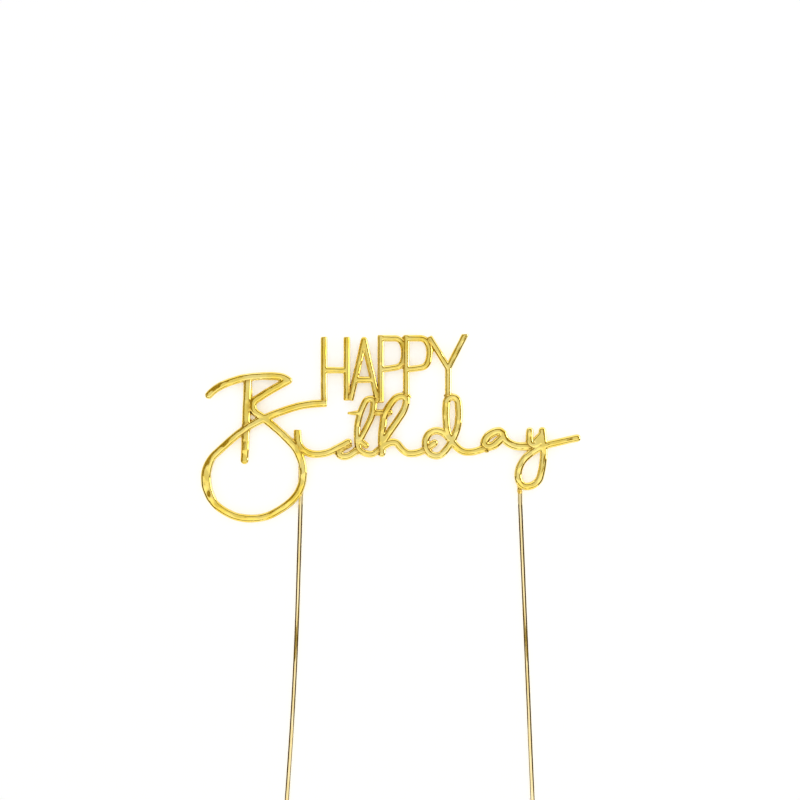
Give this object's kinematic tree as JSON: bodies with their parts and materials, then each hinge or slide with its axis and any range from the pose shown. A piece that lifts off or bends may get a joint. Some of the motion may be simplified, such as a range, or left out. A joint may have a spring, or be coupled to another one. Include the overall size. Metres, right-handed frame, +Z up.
{
  "type": "cake topper",
  "caption": "Gilt metal cake topper: narrow capitals standing on looped script with a large swash initial, held up by thin wire stakes that push into a cake.",
  "frame": {"origin": "centre of the topper's width and depth, level with the tips of the stakes", "axes": "+Z up from the stakes to the lettering, the front of the lettering faces -Y, +X to the reader's right"},
  "size_m": [0.151, 0.0052, 0.215],
  "materials": {
    "gilt_lettering": "polished",
    "gilt_stake": "polished",
    "gilt_solder": "satin"
  },
  "bodies": {
    "root": {"capital_h": "gilt_lettering", "capital_a": "gilt_lettering", "capital_p_left": "gilt_lettering", "capital_p_right": "gilt_lettering", "capital_y": "gilt_lettering", "initial_b_stem": "gilt_lettering", "initial_b_loop": "gilt_lettering", "script_i": "gilt_lettering", "script_r": "gilt_lettering", "script_t": "gilt_lettering", "script_t_bar": "gilt_lettering", "script_h": "gilt_lettering", "script_d": "gilt_lettering", "script_a": "gilt_lettering", "script_y": "gilt_lettering", "left_stake": "gilt_stake", "right_stake": "gilt_stake", "left_stake_solder": "gilt_solder", "right_stake_solder": "gilt_solder"}
  },
  "joints": []
}
